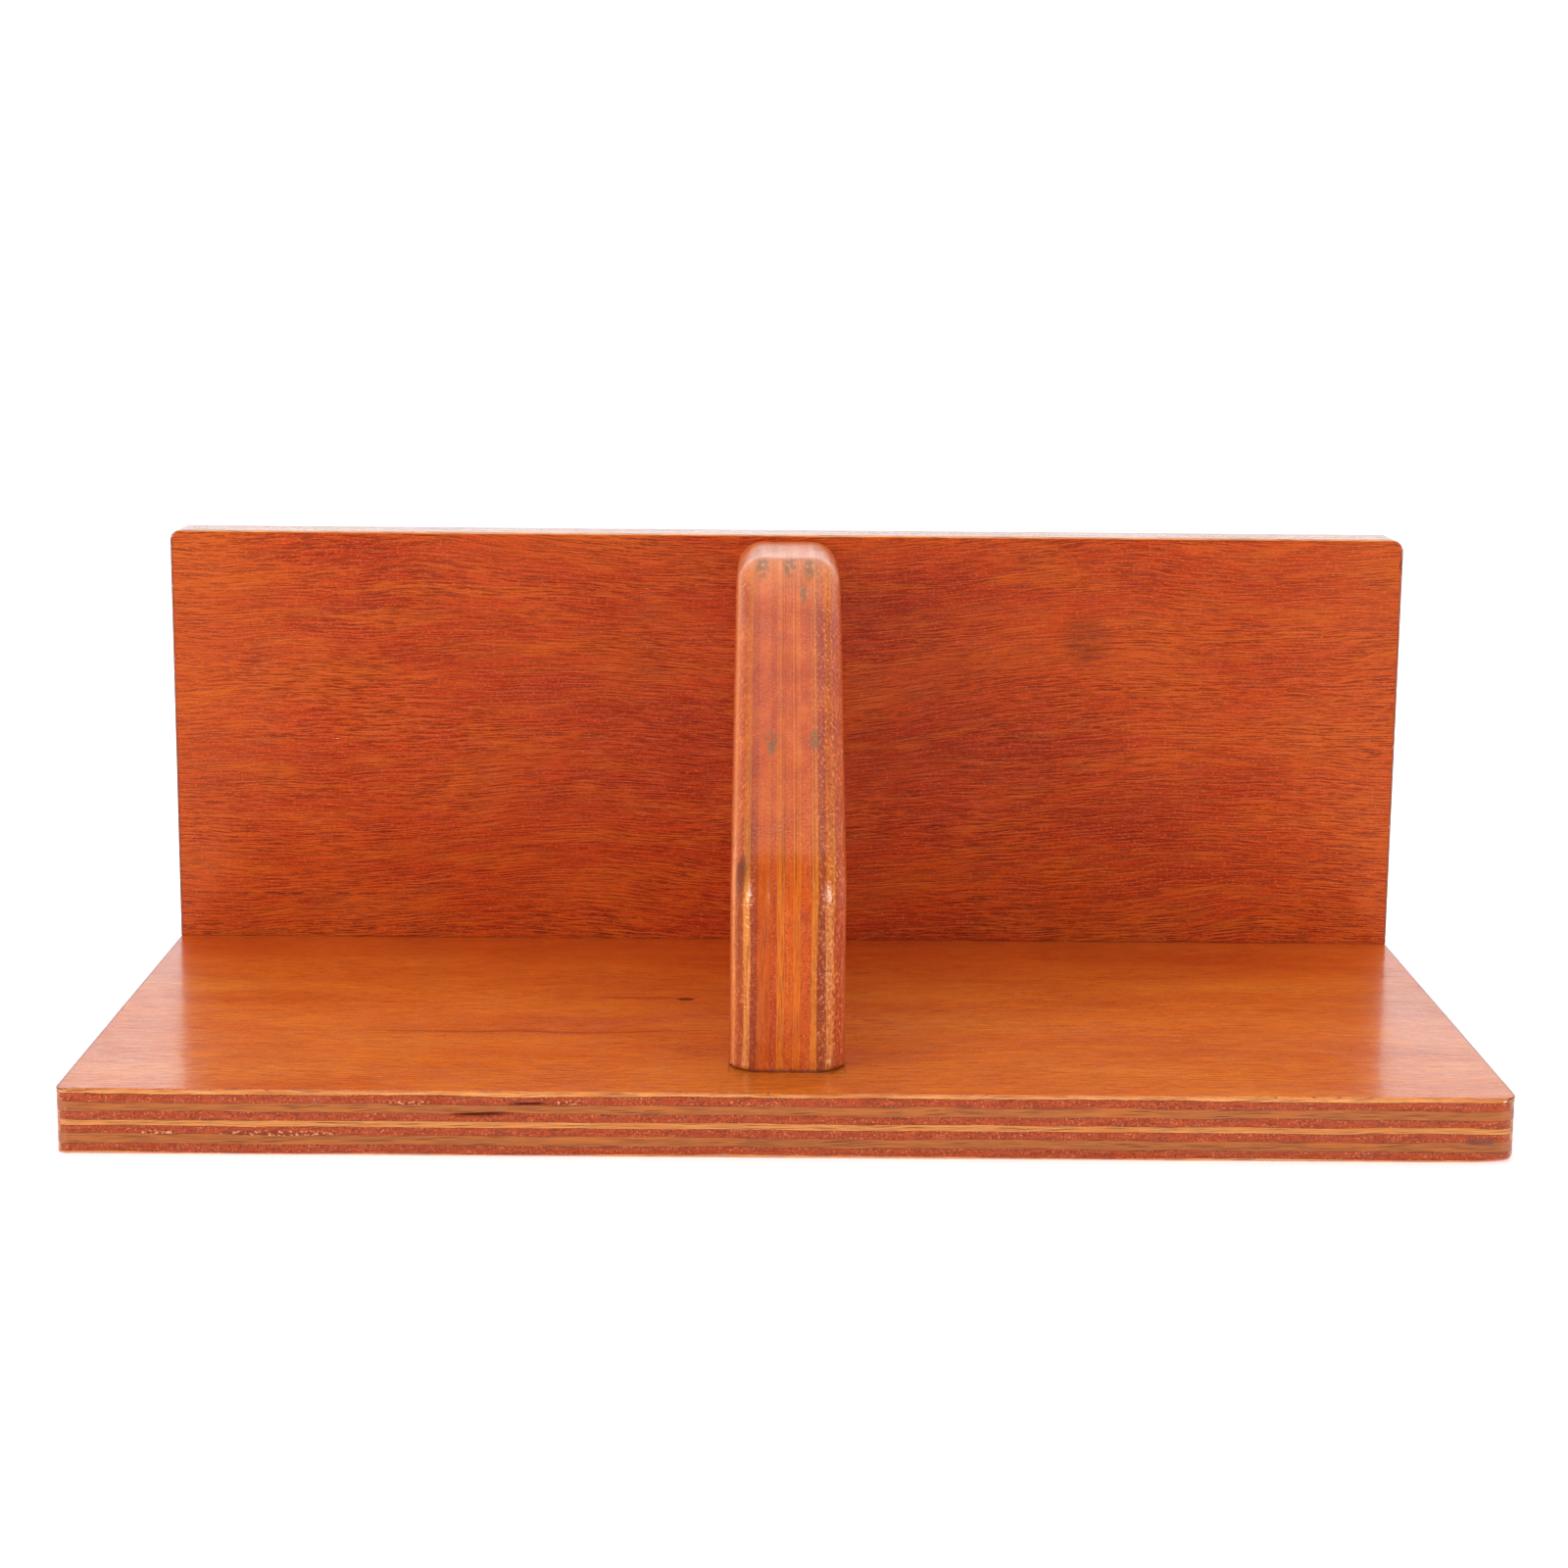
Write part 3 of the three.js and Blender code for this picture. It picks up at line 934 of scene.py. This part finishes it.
def edge_relief(point, outward, level, splits=()):
    """How far the cut edge lies below the sheet's true outline: rough end grain, swells and splits."""
    depth = (BOARD - level) / MM
    along = (point.x - point.y) / MM
    rough = ROUGH_CUT if lies_across(depth, abs(outward.x) > abs(outward.y)) else ROUGH_LONG
    amount = EDGE_SINK + EDGE_SWELL * grain_noise(along / 30, depth / 4, 8.0)
    amount += rough * grain_noise(along / 1.7, depth / 0.7, 3.0)
    if outward.y < -0.9:
        for centre, height, half_length, half_height, deep in splits:
            reach = (point.x / MM - centre) / half_length
            sway = SPLIT_SWAY * math.sin(point.x / MM / SPLIT_WAVE + height)
            off = (level / MM - height - sway) / half_height
            if abs(reach) < 1:
                amount += deep * (1 - reach * reach) * math.exp(-off * off)
    return max(0.0, amount) * MM


def board_form(outline, thickness, arris_near, arris_far, edge_step, relief):
    """A board whose faces lie across local Z, with both faces' edges rounded and its cut edges in relief."""
    form = bmesh.new()
    rings = []

    def add_ring(inset_and_level):
        ring = []
        for point, outward in outline:
            inset, level = inset_and_level(point, outward)
            flat = point - inset * outward
            ring.append(form.verts.new((flat.x, flat.y, level)))
        rings.append(ring)

    def arc(arris, turn, far=False, extra=0.0):
        def place(point, outward):
            radius = arris(point)
            level = radius * (1 - math.cos(turn))
            return radius * (1 - math.sin(turn)) + extra, thickness - level if far else level
        return place

    def edge(share):
        def place(point, outward):
            start, end = arris_near(point), thickness - arris_far(point)
            level = start + share * (end - start)
            return relief(point, outward, level) * min(1.0, 8 * share, 8 * (1 - share)), level
        return place

    turns = [step / ARRIS_STEPS * math.pi / 2 for step in range(ARRIS_STEPS + 1)]
    edge_count = round(thickness / edge_step)
    add_ring(arc(arris_near, 0.0, extra=SUPPORT))
    for turn in turns:
        add_ring(arc(arris_near, turn))
    for step in range(1, edge_count):
        add_ring(edge(step / edge_count))
    for turn in turns[::-1]:
        add_ring(arc(arris_far, turn, far=True))
    add_ring(arc(arris_far, 0.0, far=True, extra=SUPPORT))
    join_rings(form, rings)
    form.faces.new(rings[0][::-1])
    form.faces.new(rings[-1])
    return form


def end_share(point, width):
    """How round an arris is, from one along the length to a crisp share of that at the two ends."""
    from_end = width / 2 - abs(point.x)
    return min(1.0, max(CRISP_END, from_end / CRISP_REACH))


def add_base():
    width = BASE_HIGH.x - BASE_LOW.x
    depth = BASE_HIGH.y - BASE_LOW.y
    outline = board_outline(width, depth, BASE_CORNERS, BASE_STEPS)
    worn_corner = Vector((width / 2, -depth / 2))

    def under(point):
        near = max(0.0, 1 - (point - worn_corner).length / WORN_CORNER_REACH)
        worn = WORN_UNDER + WORN_SWELL * grain_noise(point.x / 0.03, point.y / 0.03, 1.0)
        return (worn * end_share(point, width) + WORN_CORNER * near * near) * MM

    def over(point):
        chips = max(0.0, grain_noise(point.x / 0.004, point.y / 0.004, 5.0) - 0.25)
        worn = WORN_OVER + WORN_SWELL * grain_noise(point.x / 0.02, point.y / 0.02, 2.0) + 1.3 * chips
        return worn * end_share(point, width) * MM

    def relief(point, outward, level):
        return edge_relief(point, outward, level, FRONT_SPLITS)

    form = board_form(outline, BOARD, under, over, BASE_EDGE_STEP, relief)
    bmesh.ops.translate(form, verts=form.verts, vec=(0, 0, BASE_LOW.z))
    return new_object("base_board_shell", form)


def add_back():
    width = BACK_HIGH.x - BACK_LOW.x
    height = BACK_HIGH.z - BASE_HIGH.z
    outline = board_outline(width, height, BACK_CORNERS, BACK_STEPS)

    def arris(point):
        foot = min(1.0, max(0.0, (point.y + height / 2) / FOOT_RISE))
        worn = WORN_BACK + WORN_SWELL * grain_noise(point.x / 0.025, point.y / 0.025, 5.0)
        return (FOOT_ARRIS + foot * worn * end_share(point, width)) * MM

    form = board_form(outline, BOARD, arris, arris, BACK_EDGE_STEP, edge_relief)
    turn = Matrix.Rotation(math.pi / 2, 4, "X")
    place = Matrix.Translation((0, BACK_HIGH.y, BASE_HIGH.z + height / 2))
    bmesh.ops.transform(form, matrix=place @ turn, verts=form.verts)
    return new_object("back_board_shell", form)


BRACE_FLAT = 49 * MM
BRACE_TOE = 56.5 * MM
BRACE_BEND = 18 * MM
BRACE_ROUND = 8.5 * MM
TOE_SHARE = 0.28
TOE_THINNING = 0.14
FOOT_ROUND = 2 * MM
PATH_STEP = 0.9 * MM
ROUND_STEPS = 9
FLAT_STEPS = 14

# Relief of the brace's free edge, in mm: how far it lies below the outline, its swells and its ripples.
BRACE_SINK = 0.16
BRACE_SWELL = 0.12
BRACE_RIPPLE = 0.04

# Dents in the brace's free edge, in mm: across, forward place, half width, half length, depth.
BRACE_DENTS = [
    (-13.2, -73.0, 1.3, 4.0, 0.9),
    (11.6, -58.0, 0.8, 3.0, 0.4),
    (-3.0, -8.0, 0.5, 3.5, 0.3),
    (6.0, 22.0, 1.2, 2.2, 0.35),
    (-13.8, 12.0, 0.8, 3.0, 0.35),
]


def brace_path():
    """The free edge from the back board to the base: (reach, height) points with outward directions."""
    reach = BACK_FRONT - BRACE_LOW.y
    height = BRACE_HIGH.z - BASE_HIGH.z
    corners = [Vector(place) for place in ((0, height), (BRACE_FLAT, height), (reach, BRACE_TOE), (reach, 0))]
    points = []

    def add_line(start, end):
        direction = (end - start).normalized()
        outward = Vector((-direction.y, direction.x))
        count = max(1, round((end - start).length / PATH_STEP))
        for step in range(count + 1):
            points.append((start.lerp(end, step / count), outward))

    here = corners[0]
    for before, corner, after in zip(corners, corners[1:], corners[2:]):
        arriving = (corner - before).normalized()
        leaving = (after - corner).normalized()
        turn = arriving.angle(leaving)
        setback = BRACE_BEND * math.tan(turn / 2)
        add_line(here, corner - arriving * setback)
        outward = Vector((-arriving.y, arriving.x))
        centre = corner - arriving * setback - outward * BRACE_BEND
        count = max(2, round(BRACE_BEND * turn / PATH_STEP))
        for step in range(1, count):
            direction = Matrix.Rotation(-turn * step / count, 2) @ outward
            points.append((centre + direction * BRACE_BEND, direction))
        here = corner + leaving * setback
    add_line(here, corners[-1])
    return points


def brace_sink(across, forward, travelled):
    """How far hand sanding and dents have lowered the free edge at a place."""
    x, y, run = across / MM, forward / MM, travelled / MM
    amount = BRACE_SINK + BRACE_SWELL * grain_noise(x / 9, run / 16, 2.0)
    amount += BRACE_RIPPLE * grain_noise(x / 2, run / 3, 4.0)
    for centre_x, centre_y, half_width, half_length, deep in BRACE_DENTS:
        off = ((x - centre_x) / half_width) ** 2 + ((y - centre_y) / half_length) ** 2
        amount += deep * math.exp(-off)
    return max(0.0, amount) * MM


def brace_section(radius):
    """Half-turn section of the free edge: (across, inset, sideways, outward) for each point, left to right.

    Sideways and outward are the shares of the sink that a point takes. A point in a flank's plane takes
    none sideways, so the flanks stay flat.
    """
    left = []
    for step in range(ROUND_STEPS + 1):
        turn = step / ROUND_STEPS * math.pi / 2
        across = BRACE_HALF - radius * (1 - math.cos(turn))
        sideways = -math.cos(turn) * math.sin(turn)
        left.append((-across, radius * (1 - math.sin(turn)), sideways, math.sin(turn)))
    right = [(-across, inset, -sideways, outward) for across, inset, sideways, outward in left[::-1]]
    flat_half = BRACE_HALF - radius
    middle = []
    for step in range(1, FLAT_STEPS):
        middle.append((flat_half * (2 * step / FLAT_STEPS - 1), 0.0, 0.0, 1.0))
    support = radius + SUPPORT
    return [(-BRACE_HALF, support, 0.0, 0.0)] + left + middle + right + [(BRACE_HALF, support, 0.0, 0.0)]


def foot_tuck(above_foot):
    """How far the free edge's sides draw in at the foot."""
    gap = max(0.0, FOOT_ROUND - above_foot)
    return FOOT_ROUND - math.sqrt(FOOT_ROUND * FOOT_ROUND - gap * gap)


def add_brace():
    path = brace_path()
    form = bmesh.new()
    rows = []
    total = sum((after[0] - before[0]).length for before, after in zip(path, path[1:]))
    travelled = 0.0
    previous = path[0][0]
    for point, outward in path:
        travelled += (point - previous).length
        previous = point
        share = travelled / total
        radius = BRACE_ROUND * (1 - TOE_THINNING * max(0.0, share - 1 + TOE_SHARE) / TOE_SHARE)
        radius *= 1 + 0.05 * grain_noise(travelled / 0.03, 7.0, 3.0)
        ends = min(1.0, travelled / CRISP_REACH, (total - travelled) / CRISP_REACH)
        forward = BACK_FRONT - point.x
        ring = []
        for across, inset, sideways, level in brace_section(radius):
            sink = brace_sink(across, forward, travelled) * ends
            flat = point - (inset + sink * level) * outward
            tuck = foot_tuck(total - travelled) if inset < radius else 0.0
            sideways_place = (across - sink * sideways) * (1 - tuck / BRACE_HALF)
            ring.append(form.verts.new((sideways_place, BACK_FRONT - flat.x, BASE_HIGH.z + flat.y)))
        rows.append(ring)
    join_rings(form, rows, closed=False)
    left_heel = form.verts.new((-BRACE_HALF, BACK_FRONT, BASE_HIGH.z))
    right_heel = form.verts.new((BRACE_HALF, BACK_FRONT, BASE_HIGH.z))
    form.faces.new([row[0] for row in rows] + [left_heel])
    form.faces.new([right_heel] + [row[-1] for row in rows[::-1]])
    form.faces.new(rows[0] + [right_heel, left_heel])
    form.faces.new(rows[-1][::-1] + [left_heel, right_heel])
    return new_object("brace_shell", form)


# ---- screws ----

SCREW_LENGTH = 50 * MM
SCREW_SUNK = 0.5 * MM
HEAD_RADIUS = 4.7 * MM
HEAD_RIM = 0.4 * MM
HEAD_CONE = 3 * MM
HEAD_FLAT = 0.96
SHANK_RADIUS = 2.1 * MM
THREAD_RADIUS = 2.5 * MM
CORE_RADIUS = 1.75 * MM
THREAD_START = 20 * MM
THREAD_PITCH = 2.6 * MM
THREAD_GROWTH = 2 * MM
THREAD_STEPS = 8
RIDGE_HALF = 0.22
TIP_LENGTH = 0.4 * MM
POINT_LENGTH = 6 * MM
RECESS_REACH = 2.5 * MM
RECESS_HALF = 0.55 * MM
RECESS_DEPTH = 2 * MM
RECESS_SLOPE = 0.25 * RECESS_HALF
HOLE_CLEARANCE = 0.3 * MM
SCREW_SIDES = 48
HEAD_RINGS = 14
SCREW_TURN = math.radians(37)


def recess_depth(x, y):
    """Depth of the cross recess, with walls that lean in and a tip at its centre."""
    x, y = abs(x), abs(y)
    across, along = min(x, y), max(x, y)
    wall = min(1.0, max(0.0, (RECESS_HALF - across) / RECESS_SLOPE))
    floor = max(0.0, 1 - (along / RECESS_REACH) ** 2)
    return RECESS_DEPTH * wall * math.sqrt(floor) if along < RECESS_REACH else 0.0


def add_circle(form, rings, radius_at, level_at):
    """Adds a ring of points round local Z, with its radius at an angle and its level at a place."""
    ring = []
    for side in range(SCREW_SIDES):
        angle = 2 * math.pi * side / SCREW_SIDES
        radius = radius_at(angle)
        x, y = radius * math.cos(angle), radius * math.sin(angle)
        ring.append(form.verts.new((x, y, level_at(x, y))))
    rings.append(ring)


def add_profile(form, rings, profile):
    """Adds a ring for each radius and level of a turned shape."""
    for radius, level in profile:
        add_circle(form, rings, lambda angle, radius=radius: radius, lambda x, y, level=level: level)


def thread_radius(angle, level):
    """Radius of the threaded part, which grows out of the shank and tapers to the point."""
    taper = min(1.0, (SCREW_LENGTH - level) / POINT_LENGTH)
    grown = min(1.0, (level - THREAD_START) / THREAD_GROWTH)
    phase = (level / THREAD_PITCH - angle / (2 * math.pi)) % 1
    ridge = max(0.0, 1 - abs(phase - 0.5) / RIDGE_HALF)
    core = CORE_RADIUS + (SHANK_RADIUS - CORE_RADIUS) * (1 - grown)
    return taper * (core + (THREAD_RADIUS - core) * ridge * grown)


def screw_form():
    """A countersunk wood screw along local Z: the head's top at zero, the point at its length."""
    form = bmesh.new()
    rings = []
    top = form.verts.new((0, 0, RECESS_DEPTH))
    for step in range(1, HEAD_RINGS + 1):
        radius = HEAD_RADIUS * HEAD_FLAT * step / HEAD_RINGS
        add_circle(form, rings, lambda angle, radius=radius: radius, recess_depth)
    add_profile(form, rings, [
        (HEAD_RADIUS, 0.15 * MM),
        (HEAD_RADIUS, HEAD_RIM),
        (HEAD_RADIUS * 0.75, HEAD_RIM + HEAD_CONE * 0.4),
        (SHANK_RADIUS * 1.15, HEAD_RIM + HEAD_CONE * 0.92),
        (SHANK_RADIUS, HEAD_RIM + HEAD_CONE * 1.25),
        (SHANK_RADIUS, THREAD_START - 1 * MM),
    ])
    level = THREAD_START
    while level < SCREW_LENGTH - TIP_LENGTH:
        add_circle(form, rings, lambda angle: thread_radius(angle, level), lambda x, y: level)
        level += THREAD_PITCH / THREAD_STEPS
    tip = form.verts.new((0, 0, SCREW_LENGTH))
    join_rings(form, rings)
    for side in range(SCREW_SIDES):
        following = (side + 1) % SCREW_SIDES
        form.faces.new((top, rings[0][following], rings[0][side]))
        form.faces.new((tip, rings[-1][side], rings[-1][following]))
    return form


def hole_form():
    """The space a screw needs, from outside the board to just past its point."""
    form = bmesh.new()
    rings = []
    add_profile(form, rings, [
        (HEAD_RADIUS + HOLE_CLEARANCE, -2 * MM),
        (HEAD_RADIUS + HOLE_CLEARANCE, SCREW_SUNK + HEAD_RIM),
        (SHANK_RADIUS + HOLE_CLEARANCE, SCREW_SUNK + HEAD_RIM + HEAD_CONE),
        (SHANK_RADIUS + HOLE_CLEARANCE, THREAD_START - 3 * MM),
        (THREAD_RADIUS + HOLE_CLEARANCE, THREAD_START - 3 * MM),
        (THREAD_RADIUS + HOLE_CLEARANCE, SCREW_SUNK + SCREW_LENGTH - POINT_LENGTH),
        (0.5 * MM, SCREW_SUNK + SCREW_LENGTH + HOLE_CLEARANCE),
    ])
    join_rings(form, rings)
    form.faces.new(rings[0][::-1])
    form.faces.new(rings[-1])
    return form


def screw_places():
    """Each screw's node with the placement of its axis, from the boxes of the CAD screws."""
    places = {}
    for node in sorted(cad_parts):
        if "_screw_" not in node:
            continue
        low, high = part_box(node)
        centre = (low + high) / 2
        if node.startswith("back_to"):
            origin = Vector((centre.x, BACK_HIGH.y, centre.z))
            turn = Matrix.Rotation(math.pi / 2, 4, "X")
        else:
            origin = Vector((centre.x, centre.y, BASE_LOW.z))
            turn = Matrix.Identity(4)
        places[node] = Matrix.Translation(origin) @ turn
    return places


def cut_holes(boards, places):
    for place in places.values():
        form = hole_form()
        bmesh.ops.transform(form, matrix=place, verts=form.verts)
        cutter = new_object("cutter", form)
        for board in boards:
            cut = board.modifiers.new("hole", "BOOLEAN")
            cut.operation = "DIFFERENCE"
            cut.solver = "EXACT"
            cut.object = cutter
            bpy.context.view_layer.objects.active = board
            board.select_set(True)
            bpy.ops.object.modifier_apply(modifier=cut.name)
            board.select_set(False)
        bpy.data.objects.remove(cutter)


def add_screws(places, material):
    for index, (node, place) in enumerate(places.items()):
        form = screw_form()
        spin = Matrix.Rotation(index * SCREW_TURN, 4, "Z")
        sink = Matrix.Translation((0, 0, SCREW_SUNK))
        bmesh.ops.transform(form, matrix=place @ sink @ spin, verts=form.verts)
        finish_piece(new_object(node + "_shell", form), material, node)


# ---- assembly ----

add_camera()
add_world()
add_lights()
add_floor()

base, back, brace = add_base(), add_back(), add_brace()
screw_axes = screw_places()
cut_holes([base, back, brace], screw_axes)
base_look = board_material(BASE_SHEET, base_features)
back_look = board_material(BACK_SHEET, back_features)
finish_piece(base, base_look, "base_board")
finish_piece(back, back_look, "back_board")
finish_piece(brace, brace_material(), "brace")
add_screws(screw_axes, steel_material())

bpy.context.scene.view_settings.view_transform = "Standard"
